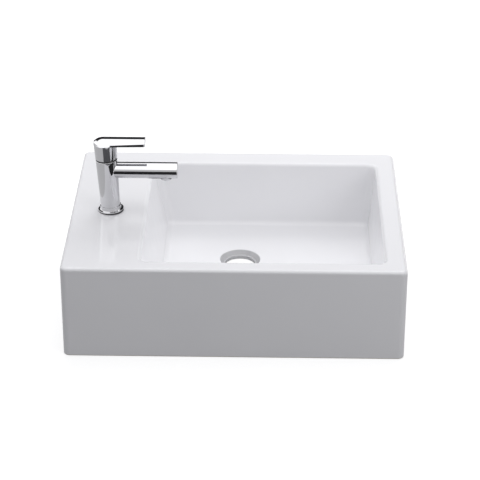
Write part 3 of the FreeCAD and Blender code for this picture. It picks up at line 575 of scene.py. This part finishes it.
# Aerator ring: a chromed brass sleeve screwed up into the spout, with the jet insert inside it.
# Its lower edge stands a little below the spout.
insert_radius = 0.0075
sleeve_play = 0.0001
sleeve_edge = 0.0006
sleeve_outside = outlet_radius - sleeve_play
sleeve_inside = insert_radius + sleeve_play
sleeve_top = outlet_depth - 0.0012
ledge_inside = insert_radius - 0.0006
ledge_top = 0.0008
aerator_ring = turned("aerator_ring", [
    (ledge_inside, 0, 0),
    (sleeve_outside, 0, sleeve_edge),
    (sleeve_outside, sleeve_top, 0),
    (sleeve_inside, sleeve_top, 0),
    (sleeve_inside, ledge_top, 0),
    (ledge_inside, ledge_top, 0),
    (ledge_inside, 0, 0),
], Matrix.Translation(outlet_centre - Vector((0, 0, outlet_foot))), loop=True)
chromed(aerator_ring, "basin_and_tap", "aerator_housing")

# Base flange: a loose chromed ring that slides down over the body and hides the tap hole.
# It leans with the body, and the rubber wedge below it makes up the difference to the deck.
flange_radius = 0.0193
flange_height = 0.0095
flange_foot = 0.0022
flange_bore = foot_radius + 0.00005
flange_edge = 0.0002
lip_top = flange_foot + 0.0012
lip_round = 0.0005
flare_radius = foot_radius + 0.0015
flare_level = flange_foot + 0.0019
flare_round = 0.0009
collar_radius = foot_radius + 0.0008
base_flange = turned("foot_ring", [
    (flange_bore, flange_foot, 0),
    (flange_radius, flange_foot, flange_edge),
    (flange_radius, lip_top, lip_round),
    (flare_radius, flare_level, flare_round),
    (collar_radius, flange_height, flange_edge),
    (flange_bore, flange_height, 0),
    (flange_bore, flange_foot, 0),
], tap_seat, loop=True)
chromed(base_flange, "basin_and_tap", "base_flange")

# Base seal: a black rubber wedge between the leaning foot and the level deck.
# It is thickest on the right, where it shows as a dark line under the foot ring.
seal_inside = foot_radius - 0.001
seal_step = foot_radius + 0.0001
seal_outside = flange_radius - 0.0002
seal_edge = 0.0002
seal_foot = -0.002
rubber_black = (0.03, 0.03, 0.032)
base_seal = turned("foot_wedge", [
    (seal_inside, seal_foot, 0),
    (seal_outside, seal_foot, 0),
    (seal_outside, flange_foot, seal_edge),
    (seal_step, flange_foot, 0),
    (seal_step, foot_seal, 0),
    (seal_inside, foot_seal, 0),
    (seal_inside, seal_foot, 0),
], tap_seat, loop=True)
for vertex in base_seal.data.vertices:
    short = deck_level - vertex.co.z
    if short > 0:
        vertex.co += tap_axis * (short / tap_axis.z)
rubber, shader = new_finish("black_rubber", rubber_black, 0.6)
relief(rubber, shader, noise_on_object(rubber, scale=900, detail=3), depth=0.00004)
links = rubber.node_tree.links
rubbed = noise_on_object(rubber, scale=300, detail=2)
links.new(spread(rubber, rubbed, 0.5, 0.7), shader.inputs["Roughness"])
base_seal.data.materials.append(rubber)
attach(base_seal, "basin_and_tap")
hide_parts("base_seal")

# Cover ring: a plastic ring screwed into the mouth over the cartridge, coloured black as painted shade for
# the deep groove below the head. Its round top follows the swing of the head, so that the groove shows only
# a dark line.
ring_inside = 0.0124
ring_outside = 0.0156
ring_ball = 0.01852
ring_foot = 0.0804
ring_neck = mouth_radius - 0.0001
# The black is painted shade: it stands for the shade deep in the groove under the head.
groove_shade_black = (0.02, 0.02, 0.022)
dome_steps = 8
dome = []
for step in range(dome_steps + 1):
    radius = ring_outside + (ring_inside - ring_outside) * step / dome_steps
    dome.append((radius, pivot_above_deck + math.sqrt(ring_ball ** 2 - radius ** 2), 0))
cover_ring = turned("cover_dome", [
    (ring_inside, ring_foot, 0),
    (ring_neck, ring_foot, 0),
    (ring_neck, rim_level, 0),
    (ring_outside, rim_level, 0),
    *dome,
    (ring_inside, ring_foot, 0),
], tap_seat, loop=True)
ring_plastic, shader = new_finish("groove_shade_black_plastic", groove_shade_black, 0.5)
links = ring_plastic.node_tree.links
moulded = noise_on_object(ring_plastic, scale=400, detail=2)
links.new(spread(ring_plastic, moulded, 0.42, 0.58), shader.inputs["Roughness"])
cover_ring.data.materials.append(ring_plastic)
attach(cover_ring, "basin_and_tap")
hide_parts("cover_ring")

# Handle: one chromed casting, a round head that caps the cartridge and a level lever, both under one
# rounded top. A square socket inside takes the stem, and a grub screw under the lever locks it there.
# The socket and the holes of the screw and its plug are in the CAD solid only.
skirt_level = 0.0874
skirt_radius = 0.0164
head_radius = 0.0174
head_level = 0.1115
cap_radius = 0.0158
crest_level = 0.1202
crown_radius = 0.0224
dome_start = 0.0025
head_ball = 0.02032
head_inside = 0.0142
head_roof = 0.110
lever_reach = 0.0603
lever_root = 0.0155
lever_tip = 0.0132
lever_level = 0.1112
tip_corner = 0.002
kink_round = 0.0015
top_edge_round = 0.0004
skirt_edge = 0.0002
under_edge = 0.0003
under_gap = 0.0004
shoulder_drop = 0.0012
cap_rise = 0.001
roof_corner = 0.001
tip_rake = 0.003
edge_steps = 28
tip_steps = 6
kink_steps = 6
head_steps = 48
ball_steps = 4
crown_steps = 20

slant = Vector((lever_root - lever_tip, lever_reach, 0)).normalized()
along = Vector((slant.y, -slant.x, 0))
line_gap = lever_root * slant.y
kink_reach = math.sqrt((head_radius + kink_round) ** 2 - (line_gap + kink_round) ** 2)
kink_centre = slant * (line_gap + kink_round) + along * kink_reach
kink_start = kink_centre - slant * kink_round
kink_end = kink_centre.normalized() * head_radius

tip_path = rounded_path([
    (Vector((lever_reach, 0, 0)), 0),
    (Vector((lever_reach, lever_tip, 0)), tip_corner),
    (kink_start, 0),
], 8, 0.0001)
outline = [tip_path[0].lerp(tip_path[1], step / tip_steps) for step in range(tip_steps)] + tip_path[1:-1]
outline += [tip_path[-2].lerp(tip_path[-1], step / edge_steps) for step in range(1, edge_steps + 1)]
kink_turn = (kink_start - kink_centre).rotation_difference(kink_end - kink_centre)
for step in range(1, kink_steps + 1):
    swung = Quaternion().slerp(kink_turn, step / kink_steps) @ (kink_start - kink_centre)
    outline.append(kink_centre + swung)
head_start = math.atan2(kink_end.y, kink_end.x)
for step in range(1, head_steps + 1):
    angle = head_start + (math.pi - head_start) * step / head_steps
    outline.append(Vector((head_radius * math.cos(angle), head_radius * math.sin(angle), 0)))
outline += [Vector((p.x, -p.y, 0)) for p in reversed(outline[1:-1])]


def head_radius_at(level):
    """The radius of the head's tapered wall at a level."""
    rise = (level - skirt_level) / (head_level - skirt_level)
    return skirt_radius + (head_radius - skirt_radius) * rise


def up(point, level):
    """The same point at another level."""
    return Vector((point.x, point.y, level))


def crowned(point):
    """The same point on the handle's top: level along the lever, round across it, domed at its left end."""
    aside = math.hypot(point.y, min(point.x + dome_start, 0))
    fall = crown_radius - math.sqrt(crown_radius ** 2 - aside ** 2)
    return up(point, crest_level - (fall + point.x * math.sin(tap_lean)) / math.cos(tap_lean))


def cap_edge(point):
    """Where the head's wall, drawn in above its widest edge, meets the rounded top."""
    edge = point
    for _ in range(6):
        rise = (crowned(edge).z - head_level) / (crest_level + cap_rise - head_level)
        edge = point * (1 - rise * (1 - cap_radius / head_radius))
    return edge


def lever_under(point):
    """The same point on the lever's lower edge, which is level; the underside sinks towards the head."""
    return up(point, lever_level - point.x * math.tan(tap_lean))


handle_paths = []
for point in outline:
    outward = point.normalized()
    spine = Vector((min(max(point.x, 0), lever_reach - lever_tip), 0, 0))
    if point.length > head_radius + 1e-6:
        under = lever_under(point)
        shoulder_level = under.z - under_gap
        edge = point + Vector((math.tan(tap_lean) * tip_rake, 0, 0)) * (point.x / lever_reach) ** 8
    else:
        under = up(point, head_level)
        shoulder_level = head_level - shoulder_drop
        edge = cap_edge(point)
    shoulder = up(outward * head_radius_at(shoulder_level), shoulder_level)
    sphere = []
    for step in range(1, ball_steps + 1):
        radius = head_inside + (skirt_radius - under_edge - head_inside) * step / ball_steps
        level = pivot_above_deck + math.sqrt(head_ball ** 2 - radius ** 2)
        sphere.append((up(outward * radius, level), 0))
    path = rounded_path([
        (Vector((0, 0, head_roof)), 0),
        (up(outward * head_inside, head_roof), roof_corner),
        (up(outward * head_inside, pivot_above_deck + math.sqrt(head_ball ** 2 - head_inside ** 2)), 0),
        *sphere,
        (up(outward * skirt_radius, skirt_level), skirt_edge),
        (shoulder, under_edge),
        (under, under_edge),
        (crowned(edge), top_edge_round),
        (crowned(edge.lerp(spine, 0.2)), 0),
    ], 6, 0.0001)
    path += [crowned(edge.lerp(spine, step / crown_steps)) for step in range(5, crown_steps + 1)]
    handle_paths.append([tap_seat @ p for p in path])
handle = skin("lever_handle", [list(ring) for ring in zip(*handle_paths)], False)
chromed(handle, "lever", "handle")

# Small pieces that keep the shape of the frame: rubber, brass, steel, plastics and disc ceramic.
# Most are inside the tap or under the ledge, and each family has its own finish.
brass, shader = new_finish("turned_brass", (0.72, 0.53, 0.25), 0.25, 1.0)
links = brass.node_tree.links
lathe_marks = noise_on_object(brass, scale=60, detail=2, stretch=(1, 1, 40))
brass_shades = ((0.66, 0.47, 0.21), (0.78, 0.58, 0.30))
links.new(tint(brass, lathe_marks, *brass_shades), shader.inputs["Base Color"])
links.new(spread(brass, lathe_marks, 0.18, 0.36), shader.inputs["Roughness"])

steel, shader = new_finish("zinc_plated_steel", (0.58, 0.59, 0.61), 0.3, 1.0)
links = steel.node_tree.links
spangle = noise_on_object(steel, scale=350, detail=3)
zinc_shades = ((0.50, 0.51, 0.53), (0.66, 0.67, 0.70))
links.new(tint(steel, spangle, *zinc_shades), shader.inputs["Base Color"])
links.new(spread(steel, spangle, 0.24, 0.42), shader.inputs["Roughness"])

cartridge_plastic, shader = new_finish("cartridge_plastic", (0.78, 0.78, 0.74), 0.42)
grain = noise_on_object(cartridge_plastic, scale=1200, detail=2)
relief(cartridge_plastic, shader, grain, depth=0.00002)
links = cartridge_plastic.node_tree.links
moulded = noise_on_object(cartridge_plastic, scale=200, detail=2)
links.new(spread(cartridge_plastic, moulded, 0.36, 0.5), shader.inputs["Roughness"])

trim_plastic, shader = new_finish("trim_plastic", (0.45, 0.46, 0.48), 0.28)
links = trim_plastic.node_tree.links
moulded = noise_on_object(trim_plastic, scale=400, detail=2)
links.new(spread(trim_plastic, moulded, 0.22, 0.36), shader.inputs["Roughness"])

disc_ceramic, shader = new_finish("lapped_ceramic", (0.86, 0.85, 0.82), 0.2)
links = disc_ceramic.node_tree.links
lapped = noise_on_object(disc_ceramic, scale=500, detail=2)
links.new(spread(disc_ceramic, lapped, 0.14, 0.26), shader.inputs["Roughness"])

finishes = {
    "chrome": chrome, "brass": brass, "steel": steel, "rubber": rubber, "trim_plastic": trim_plastic,
    "cartridge_plastic": cartridge_plastic, "disc_ceramic": disc_ceramic, "glaze": glaze,
    "ring_plastic": ring_plastic,
}
for subpart in frame["record"]["subparts"]:
    piece = nodes[subpart["node"]]
    for slot in piece.material_slots:
        slot.material = finishes[subpart["material_slot"]]

# Fixing stud: a zinc plated steel screw from the tap's foot down through the ledge.
# Its thread is rolled, so the crest stands out from the core in one long spiral.
stud_low, stud_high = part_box("fixing_stud")
stud_centre = (Vector(stud_low) + Vector(stud_high)) / 2
stud_radius = (stud_high[0] - stud_low[0]) / 2
stud_length = stud_high[2] - stud_low[2]
thread_depth = 0.0005
thread_pitch = 0.001
thread_runout = 0.001
thread_length = stud_length - 2 * thread_runout
thread_crease = math.radians(50)
core_radius = stud_radius - thread_depth
core_edge = 0.0004
stud = turned("threaded_stud", [
    (0, 0, 0),
    (core_radius, 0, core_edge),
    (core_radius, stud_length, core_edge),
    (0, stud_length, 0),
], Matrix.Translation((stud_centre.x, stud_centre.y, stud_low[2])))

threading = bpy.data.node_groups.new("screw_thread", "GeometryNodeTree")
interface = threading.interface
interface.new_socket("Core", in_out="INPUT", socket_type="NodeSocketGeometry")
asked = {
    "Radius": ("NodeSocketFloat", stud_radius - thread_depth * 0.9),
    "Depth": ("NodeSocketFloat", thread_depth * 0.85),
    "Turns": ("NodeSocketFloat", thread_length / thread_pitch),
    "Length": ("NodeSocketFloat", thread_length),
    "Foot": ("NodeSocketVector", (stud_centre.x, stud_centre.y, stud_low[2] + thread_runout)),
    "Finish": ("NodeSocketMaterial", steel),
}
sockets = {}
for name, (kind, _) in asked.items():
    sockets[name] = interface.new_socket(name, in_out="INPUT", socket_type=kind)
interface.new_socket("Screw", in_out="OUTPUT", socket_type="NodeSocketGeometry")
thread_nodes = threading.nodes
thread_links = threading.links
given = thread_nodes.new("NodeGroupInput")
made = thread_nodes.new("NodeGroupOutput")
helix = thread_nodes.new("GeometryNodeCurveSpiral")
helix.inputs["Resolution"].default_value = 24
ridge = thread_nodes.new("GeometryNodeCurvePrimitiveCircle")
ridge.inputs["Resolution"].default_value = 6
sweep = thread_nodes.new("GeometryNodeCurveToMesh")
move = thread_nodes.new("GeometryNodeTransform")
whole = thread_nodes.new("GeometryNodeJoinGeometry")
real = thread_nodes.new("GeometryNodeRealizeInstances")
finished = thread_nodes.new("GeometryNodeSetMaterial")
thread_links.new(given.outputs["Turns"], helix.inputs["Rotations"])
thread_links.new(given.outputs["Radius"], helix.inputs["Start Radius"])
thread_links.new(given.outputs["Radius"], helix.inputs["End Radius"])
thread_links.new(given.outputs["Length"], helix.inputs["Height"])
thread_links.new(given.outputs["Depth"], ridge.inputs["Radius"])
thread_links.new(helix.outputs["Curve"], sweep.inputs["Curve"])
thread_links.new(ridge.outputs["Curve"], sweep.inputs["Profile Curve"])
thread_links.new(sweep.outputs["Mesh"], move.inputs["Geometry"])
thread_links.new(given.outputs["Foot"], move.inputs["Translation"])
thread_links.new(move.outputs["Geometry"], whole.inputs["Geometry"])
thread_links.new(given.outputs["Core"], whole.inputs["Geometry"])
thread_links.new(whole.outputs["Geometry"], real.inputs["Geometry"])
thread_links.new(real.outputs["Geometry"], finished.inputs["Geometry"])
thread_links.new(given.outputs["Finish"], finished.inputs["Material"])
thread_links.new(finished.outputs["Geometry"], made.inputs["Screw"])
threader = stud.modifiers.new("screw_thread", "NODES")
threader.node_group = threading
for name, (_, value) in asked.items():
    threader[sockets[name].identifier] = value
threaded = bpy.data.meshes.new_from_object(stud.evaluated_get(bpy.context.evaluated_depsgraph_get()))
stud.modifiers.remove(threader)
stud.data = threaded
stud.data.shade_smooth()
stud.data.set_sharp_from_angle(angle=thread_crease)
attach(stud, "basin_and_tap")
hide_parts("fixing_stud")

# Floor: a wide pale sheet, so that the basin stands on a white ground.
# The camera sees it white with a faint shadow, and metal mirrors it as a pale sheet.
floor_size = 6.0
floor_grey = (0.12, 0.12, 0.122)
seen_grey = (0.4, 0.4, 0.4, 1)
# Painted light: under the basin the floor glows full white to the camera. This takes away the shadow there,
# so that the waste hole shows white.
painted_light_under_basin = 1.0
seen_glow_outside = 0.72
painted_light_reach = (0.15, 0.18)
mirrored_glow_near = 0.3
mirrored_glow_far = 1.7
mirrored_reach = (1.0, 1.6)


def sheet_object(name, corners):
    """A flat sheet between its corners."""
    shape = bmesh.new()
    shape.faces.new([shape.verts.new(corner) for corner in corners])
    return as_object(name, shape)


def oblong(left, right, front, back):
    """Four corners between two sides and two edges, which are given as (y, z)."""
    return [(left, *front), (right, *front), (right, *back), (left, *back)]


floor = sheet_object("studio_floor", oblong(-floor_size, floor_size, (-floor_size, 0), (floor_size, 0)))
sheet, shader = new_finish("pale_floor", floor_grey, 0.8)
links = sheet.node_tree.links
path = add_node(sheet, "ShaderNodeLightPath")
spot, _ = place_on_object(sheet)
away = add_node(sheet, "ShaderNodeVectorMath")
away.operation = "LENGTH"
links.new(spot, away.inputs[0])
distance = away.outputs["Value"]
mirrored_glow = ramp(sheet, distance, *mirrored_reach, mirrored_glow_near, mirrored_glow_far)
# Painted light under the basin, fading to the plain glow beyond.
seen_glow_and_painted_light = ramp(sheet, distance, *painted_light_reach, painted_light_under_basin, seen_glow_outside)
strength = add_node(sheet, "ShaderNodeMix")
links.new(path.outputs["Is Camera Ray"], strength.inputs["Factor"])
links.new(mirrored_glow, strength.inputs["A"])
links.new(seen_glow_and_painted_light, strength.inputs["B"])
glow = add_node(sheet, "ShaderNodeEmission")
shade = add_node(sheet, "ShaderNodeBsdfDiffuse")
shade.inputs["Color"].default_value = seen_grey
seen = add_node(sheet, "ShaderNodeAddShader")
watched = add_node(sheet, "ShaderNodeMath")
watched.operation = "MAXIMUM"
choice = add_node(sheet, "ShaderNodeMixShader")
output = sheet.node_tree.nodes["Material Output"]
links.new(strength.outputs["Result"], glow.inputs["Strength"])
links.new(glow.outputs["Emission"], seen.inputs[0])
links.new(shade.outputs["BSDF"], seen.inputs[1])
links.new(path.outputs["Is Camera Ray"], watched.inputs[0])
links.new(path.outputs["Is Glossy Ray"], watched.inputs[1])
links.new(watched.outputs["Value"], choice.inputs["Fac"])
links.new(shader.outputs["BSDF"], choice.inputs[1])
links.new(seen.outputs["Shader"], choice.inputs[2])
links.new(choice.outputs["Shader"], output.inputs["Surface"])
floor.data.materials.append(sheet)

# Flags: dark cloths that are only mirrored, one on the floor in front and one each before the spout
# and the head. They draw the dark lines that shape the chrome, and neither shade nor light the basin.
black_cloth, _ = new_finish("black_cloth", (0.012, 0.012, 0.013), 0.9)
grey_cloth, _ = new_finish("grey_cloth", (0.09, 0.09, 0.095), 0.9)
front_flag_left = -0.30
front_flag_right = 0.01
front_flag_far = (-4.0, 0.002)
front_flag_near = (-0.5, 0.002)
spout_flag_left = -0.1845
spout_flag_right = -0.084
spout_flag_top = (-0.0424, 0.2168)
spout_flag_foot = (-0.0275, 0.2068)
head_flag_inside = 0.047
head_flag_outside = 0.105
head_flag_left = math.radians(-18)
head_flag_right = math.radians(45)
head_flag_level = 0.215

head_axis = tap_seat @ Vector((0, 0, head_level))
head_sector = []
for reach, angle in (
    (head_flag_inside, head_flag_left),
    (head_flag_outside, head_flag_left),
    (head_flag_outside, head_flag_right),
    (head_flag_inside, head_flag_right),
):
    turned_away = Vector((math.sin(angle), -math.cos(angle), 0))
    head_sector.append(up(head_axis + turned_away * reach, head_flag_level))
front_sheet = oblong(front_flag_left, front_flag_right, front_flag_far, front_flag_near)
spout_sheet = oblong(spout_flag_left, spout_flag_right, spout_flag_top, spout_flag_foot)
flags = {
    "front_flag": (front_sheet, black_cloth),
    "spout_flag": (spout_sheet, black_cloth),
    "head_flag": (head_sector, grey_cloth),
}
for name, (corners, cloth) in flags.items():
    flag = sheet_object(name, corners)
    flag.data.materials.append(cloth)
    flag.visible_camera = False
    flag.visible_diffuse = False
    flag.visible_transmission = False
    flag.visible_shadow = False

# Light: soft lamps behind and above, weak ones to the right, and a pale room that lights all sides.
# The room is white to the camera, and dark near the horizon behind, where polished metal mirrors it.
def softbox(name, place, aim, width, depth, watts):
    """A soft lamp that lights the object, but isn't mirrored in it."""
    lamp = bpy.data.lights.new(name, "AREA")
    lamp.shape = "RECTANGLE"
    lamp.size = width
    lamp.size_y = depth
    lamp.energy = watts
    thing = bpy.data.objects.new(name, lamp)
    thing.location = place
    thing.rotation_euler = (Vector(aim) - Vector(place)).to_track_quat("-Z", "Y").to_euler()
    thing.visible_glossy = False
    bpy.context.collection.objects.link(thing)


bowl_middle = (0, 0.05, 0.1)
basin_middle = (0, 0, 0.1)
softbox("back_softbox", (0.05, 1.2, 1.2), bowl_middle, width=1.6, depth=0.9, watts=13.1)
softbox("overhead_softbox", (0, 0, 2), basin_middle, width=1.2, depth=1.2, watts=9.1)
softbox("right_softbox", (1, 0.8, 1.2), bowl_middle, width=1, depth=1, watts=1.5)
softbox("front_softbox", (1, -1.1, 0.8), basin_middle, width=0.7, depth=0.7, watts=3.2)

world = bpy.data.worlds.new("studio_room")
bpy.context.scene.world = world
world.use_nodes = True
room = world.node_tree.nodes
links = world.node_tree.links
ground = room["Background"]
path = room.new("ShaderNodeLightPath")
where = room.new("ShaderNodeTexCoord")
facing = room.new("ShaderNodeSeparateXYZ")
links.new(where.outputs["Generated"], facing.inputs["Vector"])


def room_step(axis, low, high):
    """Rises from 0 to 1 between two values of a direction's part along an axis."""
    node = room.new("ShaderNodeMapRange")
    node.interpolation_type = "SMOOTHSTEP"
    node.inputs["From Min"].default_value = low
    node.inputs["From Max"].default_value = high
    links.new(facing.outputs[axis], node.inputs["Value"])
    return node.outputs["Result"]


white_ground = (1, 1, 1)
room_light = (0.54, 0.54, 0.56)
bright = (1.95, 1.95, 1.95)
dim = (0.8, 0.8, 0.8)
dark = (0.03, 0.03, 0.033)
dark_back = tint(world, room_step("Z", 0.66, 0.74), dark, bright)
dark_right = tint(world, room_step("X", -0.64, -0.5), bright, dark_back)
low_front = tint(world, room_step("Z", 0.42, 0.55), dim, bright)
mirrored = tint(world, room_step("Y", 0.1, 0.4), low_front, dark_right)
lit = tint(world, path.outputs["Is Glossy Ray"], room_light, mirrored)
links.new(tint(world, path.outputs["Is Camera Ray"], lit, white_ground), ground.inputs["Color"])

# Camera: a long lens in front and above, a hair to the right of the middle.
camera_data = bpy.data.cameras.new("camera")
camera_data.sensor_width = 36
camera_data.lens = 138.56
camera_data.clip_end = 50
camera = bpy.data.objects.new("camera", camera_data)
camera_place = Vector((0.05042, -2.51688, 1.41464))
camera_yaw = math.radians(1.0182)
camera_pitch = math.radians(27.7622)
camera_roll = math.radians(0.1325)
camera.matrix_world = (
    Matrix.Translation(camera_place)
    @ Matrix.Rotation(camera_yaw, 4, "Z")
    @ Matrix.Rotation(math.pi / 2 - camera_pitch, 4, "X")
    @ Matrix.Rotation(camera_roll, 4, "Z")
)
bpy.context.collection.objects.link(camera)
bpy.context.scene.camera = camera
bpy.context.scene.view_settings.view_transform = "Standard"
